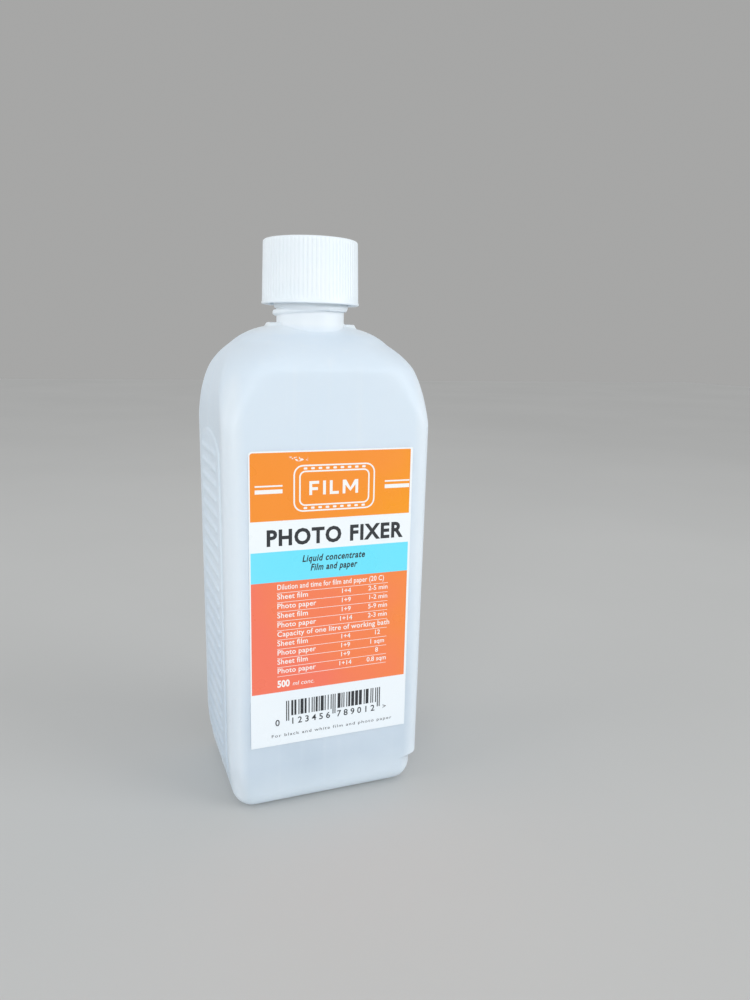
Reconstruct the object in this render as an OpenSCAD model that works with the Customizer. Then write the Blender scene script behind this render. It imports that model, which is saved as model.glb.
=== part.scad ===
// Half-litre bottle for photographic chemical concentrate, with a push-and-turn screw cap.
// The origin is on the table under the middle of the bottle: +Z is up, the label faces -Y.

/* [Bottle body] */
// Width across the narrow sides, just above the foot
body_w = 69.2; // [64:0.2:76]
// Extra width that the sides gain by the top of the straight part
body_flare = 1.6; // [0:0.2:2.4]
// Depth from the front face to the back face
body_d = 53.8; // [50:0.2:60]
// Radius of the four upright edges
edge_r = 4.4; // [3:0.2:6]
// Wall thickness of the moulding
wall_t = 1.1; // [0.9:0.1:1.5]
// Thickness of the floor where it stands
floor_t = 2; // [1.6:0.1:2.6]
// Depth of the shallow panel under the floor
floor_dish = 0.8; // [0.4:0.1:1]

/* [Foot] */
// Height at which the sides step out over the foot
foot_h = 11.6; // [9:0.1:12.4]
// How far the foot is set in on each narrow side
foot_inset = 1.5; // [0.5:0.1:2.5]
// Radius of the bottom edge
heel_r = 7; // [3:0.5:7]

/* [Shoulder] */
// Height at which the narrow sides start to curve in
shoulder_h = 132.5; // [125:0.1:136]
// Height at which the front and back faces start to lean in
face_h = 150.5; // [142:0.5:153]
// Height at which the shoulder would close
shoulder_top = 165.3; // [165.2:0.1:168]

/* [Grip] */
// Width of the raised pad on each narrow side
pad_w = 38.6; // [34:0.2:42]
// Height of the pad's lower edge
pad_z = 12.8; // [12.8:0.1:13.4]
// Height of the top of the pad's arch
pad_top = 130.1; // [127:0.1:131]
// Height that the pad stands out
pad_h = 0.4; // [0.2:0.1:0.6]
// Number of ribs on each pad
rib_count = 22; // [8:1:22]
// Distance from one rib to the next
rib_pitch = 5.12; // [4.6:0.02:5.12]
// Height of the middle of the lowest rib
rib_first_z = 15.8; // [15.5:0.1:17]
// Height that a rib stands out from the pad
rib_h = 0.5; // [0.3:0.1:1]
// Length of a rib
rib_len = 29; // [20:1:32]

/* [Neck] */
// Radius of the neck below the thread
neck_r = 11.6; // [11.5:0.1:12.1]
// Radius of the neck at the root of the thread
finish_r = 12.4; // [12.3:0.05:12.6]
// Radius over the thread
thread_r = 13.6; // [13.4:0.05:13.65]
// Radius of the pouring bore
mouth_r = 10.6; // [9.5:0.1:10.8]
// Height of the rim of the mouth
rim_z = 186.9; // [186:0.1:188]
// Rise of the thread in one turn
thread_lead = 4.23; // [4:0.01:4.3]

/* [Cap] */
// Total height, from the table to the top of the cap
total_h = 193; // [192.9:0.1:194.5]
// Height of the lower edge of the outer cap
cap_bottom_z = 172; // [171.8:0.1:172.5]
// Radius over the grip ribs at the lower edge of the outer cap
cap_r = 16.5; // [16.4:0.05:17.2]
// How much smaller that radius is at the top
cap_draft = 0.45; // [0:0.05:0.5]
// Number of grip ribs round the outer cap
cap_ribs = 72; // [36:6:96]
// How far the outer cap can be pushed down
press_travel = 1.2; // [0.8:0.1:1.2]

/* [Label] */
// Width of the label
label_w = 56.2; // [40:0.2:57]
// Height of the label
label_h = 101.5; // [80:0.1:102]
// Height of the label's lower edge
label_z = 24.1; // [20:0.1:30]
// Sideways offset of the label's middle
label_x = 0.3; // [-0.5:0.05:0.5]
// Thickness of the label
label_t = 0.12; // [0.08:0.01:0.2]

/* [Hidden] */
eps = 0.01;
corner_steps = 7;        // facets round one corner of a body section
foot_step_h = 1.7;       // height of the sloping step above the foot
foot_r = heel_r + 0.3;   // upright edges of the foot
side_power = 2.7;        // roundness of the shoulder seen from the front
face_power = 1.53;       // roundness of the shoulder seen from the side
side_end = 4.8;          // half width where the shoulder would close
face_end = 0.6;          // half depth where the shoulder would close
corner_gain = 18.4;      // how much the corner radius grows up the shoulder
cavity_top = 162;        // height at which the pouring bore leaves the cavity
shoulder_cut = 165;      // height at which the shoulder is lost inside the neck
lug_x = 15.8;            // reach of the parting-line lugs beside the neck
lug_w = 9;
lug_z = 165.8;
lug_slope = 3;           // how far the back of a lug slopes
neck_step_z = 170.7;     // height at which the neck widens to the root of the thread
thread_angle = 60;       // where the neck thread begins, round the neck
thread_start_z = 167.95; // middle of the neck thread where it begins
thread_turns = 3.6;
thread_tail = 0.42;      // share of its full height that the lowest turn has
liner_t = 1;
liner_r = 13.4;
inner_bottom_z = cap_bottom_z + 1;
inner_bore_r = thread_r + 0.3;
inner_r = inner_bore_r + 0.85;
inner_top_t = 1.1;
inner_top_z = rim_z + liner_t + inner_top_t;
shell_bore_r = inner_r + 0.25;
tooth_h = press_travel + 0.1;
tooth_gap = 0.2;         // between the two rings of teeth while the outer cap is up
tooth_count = 12;
tooth_w = 1.7;
shell_under_z = inner_top_z + 2 * tooth_h + tooth_gap;

function clamp01(t) = max(0, min(1, t));
function fall(z, low, high, power) =
    pow(max(0, 1 - pow(clamp01((z - low) / (high - low)), power)), 1 / power);
function straight_half_w(z) =
    body_w / 2 + body_flare / 2 * clamp01((z - foot_h) / (shoulder_h - foot_h));
function foot_share(z) = 1 - clamp01((z - foot_h + foot_step_h) / foot_step_h);
function heel_cut(z) = z >= heel_r ? 0 : heel_r - sqrt(pow(heel_r, 2) - pow(heel_r - z, 2));

// Half width, half depth and corner radius of the outside of the body at height z.
function half_w(z) =
    side_end + (straight_half_w(z) - side_end) * fall(z, shoulder_h, shoulder_top, side_power)
    - foot_inset * foot_share(z) - heel_cut(z);
function half_d(z) =
    face_end + (body_d / 2 - face_end) * fall(z, face_h, shoulder_top, face_power) - heel_cut(z);
function corner_r(z) =
    edge_r + (foot_r - edge_r) * foot_share(z) - heel_cut(z)
    + corner_gain * clamp01((z - shoulder_h) / (shoulder_top - shoulder_h));

// One section: a rounded rectangle of four arcs, inset sideways by the wall.
function section(z, outside_z, inset) =
    let (a = half_w(outside_z) - inset, b = half_d(outside_z) - inset,
         r = max(0.3, min(corner_r(outside_z) - inset, a - 0.2, b - 0.2)))
    [for (q = [0:3], i = [0:corner_steps])
        let (angle = 90 * q + 90 * i / corner_steps,
             sx = (q == 0 || q == 3) ? 1 : -1, sy = q < 2 ? 1 : -1)
        [sx * (a - r) + r * cos(angle), sy * (b - r) + r * sin(angle), z]];

// A closed skin through a stack of sections that all have the same number of points.
module skin(rings) {
    n = len(rings[0]);
    last = len(rings) - 1;
    polyhedron(
        points = [for (ring = rings, p = ring) p],
        faces = concat(
            [[for (i = [0:n - 1]) i]],
            [[for (i = [n - 1:-1:0]) last * n + i]],
            [for (k = [0:last - 1], i = [0:n - 1])
                let (j = (i + 1) % n)
                [k * n + i, (k + 1) * n + i, (k + 1) * n + j]],
            [for (k = [0:last - 1], i = [0:n - 1])
                let (j = (i + 1) % n)
                [k * n + i, (k + 1) * n + j, k * n + j]]));
}

heel_heights = [for (i = [0:6]) heel_r * (1 - cos(15 * i))];
shoulder_steps = 18;
function shoulder_heights(top) =
    [for (i = [0:shoulder_steps])
        shoulder_h + (top - shoulder_h) * sin(90 * i / shoulder_steps)];

module body_outside() {
    heights = concat(heel_heights, [foot_h - foot_step_h, foot_h], shoulder_heights(shoulder_cut));
    skin([for (z = heights) section(z, z, 0)]);
}

// The cavity follows the outside, one wall thickness in and, up the shoulder, one wall lower.
module body_cavity() {
    low = [for (h = heel_heights) if (h > floor_t + 0.4) h];
    heights = concat([floor_t], low, [foot_h - foot_step_h, foot_h], shoulder_heights(cavity_top));
    skin([for (z = heights) section(z, z > foot_h ? z + wall_t : z, wall_t)]);
}

module floor_panel() {
    w = body_w - 2 * foot_inset - 4 * heel_r;
    d = body_d - 3.4 * heel_r;
    translate([0, 0, -1])
        linear_extrude(1 + floor_dish)
            offset(r = 5, $fn = 32) square([w - 10, d - 10], center = true);
}

// Outline of the grip, seen from the side: straight sides and an arched top, drawn inset.
module grip_outline(inset) {
    half = pad_w / 2 - inset;
    arch_r = pad_w * 0.937 - inset;
    top = pad_top - inset;
    spring_z = top - arch_r + sqrt(pow(arch_r, 2) - pow(half, 2));
    intersection() {
        translate([-half, pad_z + inset / 3]) square([2 * half, top - pad_z]);
        translate([0, top - arch_r]) circle(r = arch_r, $fn = 96);
    }
    translate([-half, pad_z + inset / 3]) square([2 * half, spring_z - pad_z - inset / 3]);
}

// Height of the pad's face from the middle of the bottle.
function pad_face(z) = straight_half_w(z) + pad_h;

module pad_profile() {
    polygon([[pad_face(pad_z), pad_z], [pad_face(pad_top), pad_top],
             [body_w / 2 - 0.8, pad_top], [body_w / 2 - 0.8, pad_z]]);
}

// The rounded bars of one grip, in section through their length.
module rib_profile() {
    half = rib_pitch * 0.27;
    last_z = rib_first_z + (rib_count - 1) * rib_pitch;
    polygon(concat(
        [for (k = [0:rib_count - 1], t = [-120:30:120])
            let (z = rib_first_z + k * rib_pitch)
            [pad_face(z) + rib_h * cos(t), z + half * sin(t)]],
        [[body_w / 2 - 0.6, last_z + half * 0.8], [body_w / 2 - 0.6, rib_first_z - half * 0.8]]));
}

// One layer of a grip: a profile drawn out to a length, cut to an outline.
module grip_layer(length, inset) {
    intersection() {
        rotate([90, 0, 0])
            translate([0, 0, -length / 2])
                linear_extrude(length) children();
        rotate([90, 0, 90])
            linear_extrude(body_w) grip_outline(inset);
    }
}

module grips() {
    for (side = [0, 180])
        rotate([0, 0, side]) {
            grip_layer(pad_w + 1, 0) pad_profile();
            grip_layer(rib_len, 3.5) rib_profile();
        }
}

// A ridge wound along a right-hand helix. Its foot is sunk into the wall at root_r. The first
// turn has only the share of the height that tail gives, and both ends run out.
module thread(root_r, crest_r, foot_w, crest_w, start_z, turns, tail) {
    steps = round(turns * 32);
    sink = root_r < crest_r ? -0.4 : 0.4;
    run_out = 0.15;
    skin([for (i = [0:steps])
        let (turn = turns * i / steps,
             angle = 360 * turn + thread_angle,
             z = start_z + thread_lead * turn,
             ends = max(0.2, min(1, turn / run_out, (turns - turn) / run_out)),
             tip = root_r + (crest_r - root_r) * ends * (tail + (1 - tail) * clamp01(turn / 0.3 - 3)),
             profile = [[root_r + sink, -foot_w / 2], [tip, -crest_w / 2],
                        [tip, crest_w / 2], [root_r + sink, foot_w / 2]],
             ordered = root_r < crest_r ? [for (k = [3:-1:0]) profile[k]] : profile)
        [for (p = ordered) [p[0] * cos(angle), p[0] * sin(angle), z + p[1]]]]);
}

// The lugs are one bar through the neck, upright in front and sloping at the back.
module lugs() {
    foot_z = lug_z - 4;
    translate([-lug_x, 0, 0])
        rotate([90, 0, 90])
            linear_extrude(2 * lug_x)
                polygon([[-lug_w / 2, foot_z], [lug_w / 2, foot_z], [lug_w / 2, foot_z + 0.8],
                         [lug_w / 2 - lug_slope, lug_z], [-lug_w / 2, lug_z]]);
}

module neck_outside() {
    root_z = shoulder_cut - 6;
    translate([0, 0, root_z]) cylinder(r = neck_r, h = neck_step_z + 0.5 - root_z, $fn = 96);
    translate([0, 0, neck_step_z]) cylinder(r = finish_r, h = rim_z - neck_step_z, $fn = 96);
    thread(finish_r, thread_r, 2.3, 0.8, thread_start_z, thread_turns, thread_tail);
    lugs();
}

module bottle() {
    color("aliceblue")
        difference() {
            union() {
                body_outside();
                grips();
                neck_outside();
            }
            body_cavity();
            translate([0, 0, cavity_top - 0.6]) cylinder(r = mouth_r, h = 40, $fn = 96);
            floor_panel();
        }
}

module front_label() {
    color("darkorange")
        translate([label_x, -body_d / 2, label_z + label_h / 2])
            rotate([90, 0, 0])
                linear_extrude(label_t)
                    square([label_w, label_h], center = true);
}

module cap_liner() {
    color("whitesmoke")
        translate([0, 0, rim_z]) cylinder(r = liner_r, h = liner_t, $fn = 96);
}

// A ring of square teeth, centred on multiples of 360 / count plus phase.
module tooth_ring(z, height, phase) {
    for (i = [0:tooth_count - 1])
        rotate([0, 0, 360 * i / tooth_count + phase])
            translate([7.5, -tooth_w / 2, z])
                cube([4.5, tooth_w, height]);
}

module inner_cap() {
    color("white") {
        difference() {
            translate([0, 0, inner_bottom_z])
                cylinder(r = inner_r, h = inner_top_z - inner_bottom_z, $fn = 96);
            translate([0, 0, inner_bottom_z - 1])
                cylinder(r = inner_bore_r, h = rim_z + liner_t - inner_bottom_z + 1, $fn = 96);
        }
        thread(inner_bore_r, inner_bore_r - 0.95, 1.8, 0.7,
               thread_start_z + 1.5 * thread_lead, 1.25, 1);
        tooth_ring(inner_top_z - eps, tooth_h + eps, 0);
    }
}

// Outline of the outer cap's skirt: a circle with flat-topped ribs.
module ribbed_outline(r, rib) {
    step = 360 / cap_ribs;
    polygon([for (i = [0:cap_ribs - 1], k = [[0, 0], [0.25, 1], [0.5, 1], [0.75, 0]])
        let (angle = step * (i + k[0]), radius = r - rib + rib * k[1])
        [radius * cos(angle), radius * sin(angle)]]);
}

module cap_shell() {
    top_round = 0.8;
    height = total_h - cap_bottom_z;
    lip_h = 0.9;
    color("white") {
        difference() {
            union() {
                intersection() {
                    translate([0, 0, cap_bottom_z])
                        linear_extrude(height, scale = 1 - cap_draft / cap_r)
                            ribbed_outline(cap_r, 0.3);
                    translate([0, 0, cap_bottom_z])
                        rotate_extrude($fn = 96)
                            polygon(concat(
                                [[0, 0], [cap_r + 1, 0], [cap_r + 1, height - top_round - 1]],
                                [for (t = [0:15:90])
                                    [cap_r - cap_draft - top_round + top_round * cos(t),
                                     height - top_round + top_round * sin(t)]],
                                [[0, height]]));
                }
                translate([0, 0, cap_bottom_z]) cylinder(r = cap_r + 0.15, h = lip_h, $fn = 96);
            }
            translate([0, 0, inner_bottom_z - 0.15])
                cylinder(r = shell_bore_r, h = shell_under_z - inner_bottom_z + 0.15, $fn = 96);
            translate([0, 0, cap_bottom_z - 1])
                cylinder(r = inner_r - 0.35, h = 3, $fn = 96);
        }
        tooth_ring(shell_under_z - tooth_h, tooth_h + eps, 180 / tooth_count);
    }
}

bottle();
front_label();
cap_liner();
inner_cap();
cap_shell();
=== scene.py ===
"""Half-litre bottle of fixer concentrate with a push-and-turn cap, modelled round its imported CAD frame.

Shapes are worked out in millimetres and turned into metres when a mesh is made.
The front of the bottle looks along -Y, and its parting line is the plane y = 0.
"""
import math
import random

import bpy
import numpy as np
from mathutils import Matrix, Vector


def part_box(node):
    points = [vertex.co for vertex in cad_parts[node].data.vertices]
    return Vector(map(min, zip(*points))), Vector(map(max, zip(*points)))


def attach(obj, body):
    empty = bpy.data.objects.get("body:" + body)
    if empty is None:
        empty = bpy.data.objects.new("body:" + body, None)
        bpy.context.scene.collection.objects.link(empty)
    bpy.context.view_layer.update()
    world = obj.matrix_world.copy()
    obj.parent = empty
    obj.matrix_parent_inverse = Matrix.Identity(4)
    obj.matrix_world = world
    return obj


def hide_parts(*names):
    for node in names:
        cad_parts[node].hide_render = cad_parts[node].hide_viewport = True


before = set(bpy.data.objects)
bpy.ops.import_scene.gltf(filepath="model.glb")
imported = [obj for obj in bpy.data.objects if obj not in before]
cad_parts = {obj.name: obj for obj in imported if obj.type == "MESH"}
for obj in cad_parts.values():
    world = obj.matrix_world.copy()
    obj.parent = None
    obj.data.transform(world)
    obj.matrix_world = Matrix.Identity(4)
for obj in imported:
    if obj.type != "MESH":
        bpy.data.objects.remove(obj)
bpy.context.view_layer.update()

MM = 0.001
TURN = 2 * math.pi


def box_mm(node):
    """Lower and upper corner of a CAD node's box, in millimetres."""
    low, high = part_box(node)
    return np.array(low) / MM, np.array(high) / MM


bottle_low, bottle_high = box_mm("bottle")
label_low, label_high = box_mm("front_label")
liner_low, liner_high = box_mm("cap_liner")
inner_low, inner_high = box_mm("inner_cap")
shell_low, shell_high = box_mm("cap_shell")

# Bottle body
BODY_DEPTH = bottle_high[1] - bottle_low[1]
PAD_HEIGHT = 0.4
RIB_HEIGHT = 0.5
BODY_FLARE = 1.6
BODY_WIDTH = 69.2
EDGE_RADIUS = 4.4
WALL = 1.1
FLOOR = 2.0
DISH = 0.8
FOOT_HEIGHT = 11.6
FOOT_STEP = 1.7
FOOT_INSET = 1.5
HEEL_RADIUS = 7.0
FOOT_EDGE_RADIUS = HEEL_RADIUS + 0.3

# Shoulder
SHOULDER_START = 132.5
FACE_START = 150.5
SHOULDER_TOP = 165.3
SIDE_POWER = 2.7
FACE_POWER = 1.53
SIDE_END = 4.8
FACE_END = 0.6
CORNER_GAIN = 18.4
CORNER_LAG = 0.03

# Grip on each narrow side
PAD_HALF = 19.3
PAD_BOTTOM = 12.8
PAD_TOP = 130.1
ARCH_RADIUS = 36.2
RIB_COUNT = 22
RIB_PITCH = 5.12
FIRST_RIB = 15.8
RIB_HALF_LENGTH = 14.5
RIB_HALF_WIDTH = 1.6
RIB_MARGIN = 3.5

# Neck
RIM_Z = bottle_high[2]
NECK_RADIUS = 11.6
FINISH_RADIUS = 12.4
THREAD_RADIUS = 13.6
MOUTH_RADIUS = 10.6
NECK_STEP_Z = 170.7
THREAD_LEAD = 4.23
THREAD_ANGLE = math.radians(60)
THREAD_START = 167.95
THREAD_TURNS = 3.6
THREAD_TAIL = 0.42
THREAD_FOOT = 2.3
THREAD_CREST = 0.8
LUG_REACH = 15.8
LUG_HALF_WIDTH = 4.5
LUG_TOP = 165.8
LUG_SLOPE = 3.0

# Cap
CAP_RADIUS = 16.5
CAP_DRAFT = 0.45
CAP_RIBS = 72
CAP_ROUNDING = 0.8
CAP_RIB_DEPTH = 0.17
TOOTH_COUNT = 12
TOOTH_HEIGHT = 1.3
SHELL_BORE = 15.0
SHELL_UNDERSIDE = 191.8
INNER_BORE = 13.9
CAP_LIP = 0.15
CAP_PANEL_DEPTH = 0.32
CAP_THREAD_HEIGHT = 0.95
CAP_THREAD_FOOT = 1.8
CAP_THREAD_CREST = 0.7
CAP_THREAD_TURNS = 1.25


# ---------------------------------------------------------------- shared helpers

def clamp01(t):
    return np.clip(t, 0.0, 1.0)


def smooth(t):
    """An S-shaped step from 0 to 1."""
    t = clamp01(t)
    return t * t * (3 - 2 * t)


def graded(start, end, coarse, marks=()):
    """Values from start to end, coarse steps apart, with finer steps within reach of each mark."""
    values = [start]
    while values[-1] < end:
        fine = [step for place, reach, step in marks if abs(values[-1] - place) < reach]
        values.append(values[-1] + min(fine + [coarse]))
    values = np.array(values)
    return start + (values - start) * (end - start) / (values[-1] - start)


def make_object(name, points_mm, faces, material, smooth_shading=True):
    """A mesh object in the scene, from points in millimetres."""
    mesh = bpy.data.meshes.new(name)
    mesh.from_pydata((np.asarray(points_mm) * MM).tolist(), [], faces)
    mesh.polygons.foreach_set("use_smooth", [smooth_shading] * len(mesh.polygons))
    mesh.materials.append(material)
    mesh.update()
    piece = bpy.data.objects.new(name, mesh)
    bpy.context.scene.collection.objects.link(piece)
    return piece


def skin(rows):
    """Points and faces of a closed skin through rows of points, with a pole at each end."""
    count, around = rows.shape[:2]
    first, last = rows[0].mean(axis=0), rows[-1].mean(axis=0)
    points = np.vstack([first[None], rows.reshape(-1, 3), last[None]])
    column = np.arange(around)
    beside = (column + 1) % around
    faces = [(0, int(1 + b), int(1 + a)) for a, b in zip(column, beside)]
    for k in range(count - 1):
        low, high = 1 + k * around, 1 + (k + 1) * around
        faces += np.stack([low + column, low + beside, high + beside, high + column], axis=1).tolist()
    end, top = len(points) - 1, 1 + (count - 1) * around
    faces += [(end, int(top + a), int(top + b)) for a, b in zip(column, beside)]
    return points, faces


def add_attribute(piece, name, values):
    """A number for each point of a mesh, for its material to read."""
    layer = piece.data.attributes.new(name, "FLOAT", "POINT")
    layer.data.foreach_set("value", np.asarray(values, np.float32))


def outward(rows):
    """Unit normals of a grid of points whose columns run anticlockwise seen from above."""
    across = np.roll(rows, -1, axis=1) - np.roll(rows, 1, axis=1)
    along = np.gradient(rows, axis=0)
    normal = np.cross(across, along)
    length = np.linalg.norm(normal, axis=2, keepdims=True)
    return normal / np.maximum(length, 1e-9)


def ring(radius, z, angles):
    """Points round the upright axis at a radius and height, each one number or one per angle."""
    radius = np.broadcast_to(radius, angles.shape)
    z = np.broadcast_to(z, angles.shape)
    return np.stack([radius * np.cos(angles), radius * np.sin(angles), z], axis=1)


# ---------------------------------------------------------------- shape of the bottle

def fall(z, low, high, power):
    """1 up to low, falling to 0 at high along a rounded curve."""
    return np.maximum(0, 1 - clamp01((z - low) / (high - low)) ** power) ** (1 / power)


def foot_share(z):
    """1 in the foot and 0 above its step."""
    return 1 - smooth((z - FOOT_HEIGHT + FOOT_STEP) / FOOT_STEP)


def heel_cut(z):
    """How far the rounded heel draws the walls in at a height."""
    drop = np.clip(HEEL_RADIUS - z, 0, HEEL_RADIUS)
    return HEEL_RADIUS - np.sqrt(HEEL_RADIUS ** 2 - drop ** 2)


def soft_foot_share(z):
    """The foot as it is on the -X side, where it leans in without a step."""
    return 1 - smooth((z - 3) / 17)


def half_width(z, foot=foot_share):
    climb = clamp01((z - FOOT_HEIGHT) / (SHOULDER_START - FOOT_HEIGHT))
    straight = BODY_WIDTH / 2 + BODY_FLARE / 2 * climb
    bent = SIDE_END + (straight - SIDE_END) * fall(z, SHOULDER_START, SHOULDER_TOP, SIDE_POWER)
    return bent - FOOT_INSET * foot(z) - heel_cut(z)


def half_depth(z):
    bent = FACE_END + (BODY_DEPTH / 2 - FACE_END) * fall(z, FACE_START, SHOULDER_TOP, FACE_POWER)
    return bent - heel_cut(z)


def corner_radius(z, foot=foot_share):
    up = clamp01((z - SHOULDER_START) / (SHOULDER_TOP - SHOULDER_START))
    growth = up * up * (1 + CORNER_LAG) / (up + CORNER_LAG)
    return EDGE_RADIUS + (FOOT_EDGE_RADIUS - EDGE_RADIUS) * foot(z) - heel_cut(z) + CORNER_GAIN * growth


def reach(angles, half_x, half_y, corner):
    """Distance from the middle of a rounded rectangle to its edge, in each direction."""
    c, s = np.abs(np.cos(angles)), np.abs(np.sin(angles))
    corner = np.clip(corner, 0.3, np.minimum(half_x, half_y) - 0.2)
    kx, ky = half_x - corner, half_y - corner
    to_side, to_face = half_x / np.maximum(c, 1e-9), half_y / np.maximum(s, 1e-9)
    along = c * kx + s * ky
    to_corner = along + np.sqrt(np.maximum(0, along ** 2 - (kx ** 2 + ky ** 2 - corner ** 2)))
    return np.where(to_side * s <= ky, to_side, np.where(to_face * c <= kx, to_face, to_corner))


def body_reach(angles, z, foot=foot_share):
    """Distance from the axis to the plain wall at a height, in each direction."""
    return reach(angles, half_width(z, foot), half_depth(z), corner_radius(z, foot))


def body_angles():
    """Directions of the columns of points: close together at the parting line, the ends of the
    ribs, the edge of the pad and the upright edges of the body."""
    side_x = BODY_WIDTH / 2 + BODY_FLARE / 4
    on_side = graded(0, 20.2, 1.5, [(0, 0.6, 0.15), (RIB_HALF_LENGTH, 1.4, 0.4), (PAD_HALF, 0.9, 0.25)])
    side = np.arctan2(on_side, side_x)
    corner = np.linspace(side[-1], math.radians(47), 21)[1:]
    front = np.linspace(corner[-1], math.radians(90), 16)[1:]
    quarter = np.concatenate([side, corner, front])
    half = np.concatenate([quarter, math.pi - quarter[-2::-1]])
    return np.concatenate([half, math.pi + half[1:-1]])


def base_rows(angles):
    """The underside, from the middle out to where the heel starts: a dished panel in a flat rim."""
    rim = ring(reach(angles, half_width(0.0), half_depth(0.0), 4.0), 0, angles)
    rows = []
    for share in np.concatenate([[0.03, 0.08], graded(0.15, 1, 0.05, [(0.78, 0.07, 0.012)])]):
        row = rim * share
        from_middle = np.maximum(np.abs(row[:, 0]) / (BODY_WIDTH * 0.305),
                                 np.abs(row[:, 1]) / (BODY_DEPTH * 0.31))
        row[:, 2] = DISH * smooth((1.03 - from_middle) / 0.1)
        seam = 0.45 * smooth((0.42 - np.abs(row[:, 1])) / 0.3) * smooth((20 - np.abs(row[:, 0])) / 2)
        row[:, 2] -= np.where(row[:, 2] > seam, seam, 0)
        rows.append(row)
    return np.array(rows)


def wall_rows(angles):
    """The heel, the foot and the upright part of the walls, up to where the shoulder starts."""
    heel = HEEL_RADIUS * (1 - np.cos(np.radians(np.arange(9, 90, 9))))
    rib_marks = [(FIRST_RIB + k * RIB_PITCH, 1.9, 0.4) for k in range(RIB_COUNT)]
    marks = [(FOOT_HEIGHT - FOOT_STEP / 2, 1.2, 0.2), (PAD_BOTTOM, 0.6, 0.2), (PAD_TOP - 2.6, 3.4, 0.4)]
    upright = graded(HEEL_RADIUS, SHOULDER_START, 0.9, marks + rib_marks)
    heights = np.concatenate([heel, upright])
    stepped = np.array([ring(body_reach(angles, z), z, angles) for z in heights])
    leaning = np.array([ring(body_reach(angles, z, soft_foot_share), z, angles) for z in heights])
    on_left = smooth((-np.cos(angles) - 0.2) / 0.4)[None, :, None]
    return stepped + (leaning - stepped) * on_left


def neck_foot_heights(angles, radius):
    """For each direction, the height at which the shoulder comes in to this radius."""
    low, high = np.full(angles.shape, SHOULDER_START), np.full(angles.shape, SHOULDER_TOP - 0.01)
    for _ in range(40):
        middle = (low + high) / 2
        wide = body_reach(angles, middle) > radius
        low, high = np.where(wide, middle, low), np.where(wide, high, middle)
    return low


def lug_share(points):
    """1 on top of the two lugs beside the neck and 0 off them: soft in front, sloping at the back."""
    x, y = np.abs(points[:, 0]), points[:, 1]
    end = smooth((LUG_REACH - x) / 0.8)
    front = smooth((y + LUG_HALF_WIDTH) / 1.6)
    back = clamp01((LUG_HALF_WIDTH - y) / LUG_SLOPE)
    return end * front * back


def shoulder_rows(angles):
    """From the upright walls over the shoulder and its lugs, and round a small fillet into the neck."""
    fillet = 0.6
    collar = 20.0
    rows = []
    collar_z = neck_foot_heights(angles, collar)
    for t in np.linspace(0, 1, 31)[1:]:
        z = SHOULDER_START + (collar_z - SHOULDER_START) * math.sin(t * math.pi / 2)
        rows.append(ring(body_reach(angles, z), z, angles))
    for radius in np.linspace(collar, NECK_RADIUS + fillet, 30)[1:]:
        row = ring(radius, neck_foot_heights(angles, radius), angles)
        row[:, 2] += (LUG_TOP - row[:, 2]) * lug_share(row)
        rows.append(row)
    foot = rows[-1]
    slope = (foot[:, 2] - rows[-2][:, 2]) / (np.hypot(*rows[-2][:, :2].T) - np.hypot(*foot[:, :2].T))
    corner_z = foot[:, 2] + np.clip(slope, 0, 2) * fillet
    bend, end = ring(NECK_RADIUS, corner_z, angles), ring(NECK_RADIUS, corner_z + fillet, angles)
    for t in np.linspace(0, 1, 7)[1:]:
        rows.append((1 - t) ** 2 * foot + 2 * t * (1 - t) * bend + t ** 2 * end)
    return np.array(rows)


def neck_rows(angles, start_z):
    """The outside of the neck up to the rim, before the thread is raised on it."""
    rows = []
    level = LUG_TOP + 1.0
    for t in (0.25, 0.5, 0.75):
        rows.append(ring(NECK_RADIUS, start_z + (level - start_z) * t, angles))
    for z in graded(level, RIM_Z - 0.5, 0.25):
        radius = NECK_RADIUS + (FINISH_RADIUS - NECK_RADIUS) * smooth((z - NECK_STEP_Z) / 0.6 + 0.5)
        rows.append(ring(radius, z, angles))
    return np.array(rows)


def rim_rows(angles):
    """Over the rounded rim of the mouth, from the outside to the bore."""
    rounding = 0.5
    rows = []
    for t in np.radians(np.arange(15, 91, 15)):
        rows.append(ring(FINISH_RADIUS - rounding + rounding * math.cos(t),
                         RIM_Z - rounding + rounding * math.sin(t), angles))
    for t in np.radians(np.arange(90, 181, 15)):
        rows.append(ring(MOUTH_RADIUS + rounding + rounding * math.cos(t),
                         RIM_Z - rounding + rounding * math.sin(t), angles))
    return np.array(rows)


def grip_relief(across, z):
    """How far the pad and its ribs stand out at a place on the narrow side."""
    across = np.abs(across)
    top = PAD_TOP - ARCH_RADIUS + np.sqrt(np.maximum(0, ARCH_RADIUS ** 2 - across ** 2))
    inside = np.minimum(np.minimum(PAD_HALF - across, z - PAD_BOTTOM), top - z)
    pad = PAD_HEIGHT * smooth(inside / 0.7 + 0.5)
    nearest = np.clip(np.round((z - FIRST_RIB) / RIB_PITCH), 0, RIB_COUNT - 1)
    rib_z = FIRST_RIB + nearest * RIB_PITCH
    arch = ARCH_RADIUS - RIB_MARGIN
    below_arch = rib_z - (PAD_TOP - ARCH_RADIUS)
    arch_limit = np.where(below_arch > 0, np.sqrt(np.maximum(1, arch ** 2 - below_arch ** 2)), arch)
    half_length = np.minimum(RIB_HALF_LENGTH, arch_limit)
    beyond = np.maximum(0, across - (half_length - 1.2)) / 1.2
    off = ((z - rib_z) / RIB_HALF_WIDTH) ** 2 + beyond ** 2
    return pad + RIB_HEIGHT * np.maximum(0, 1 - off) ** 1.6


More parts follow.
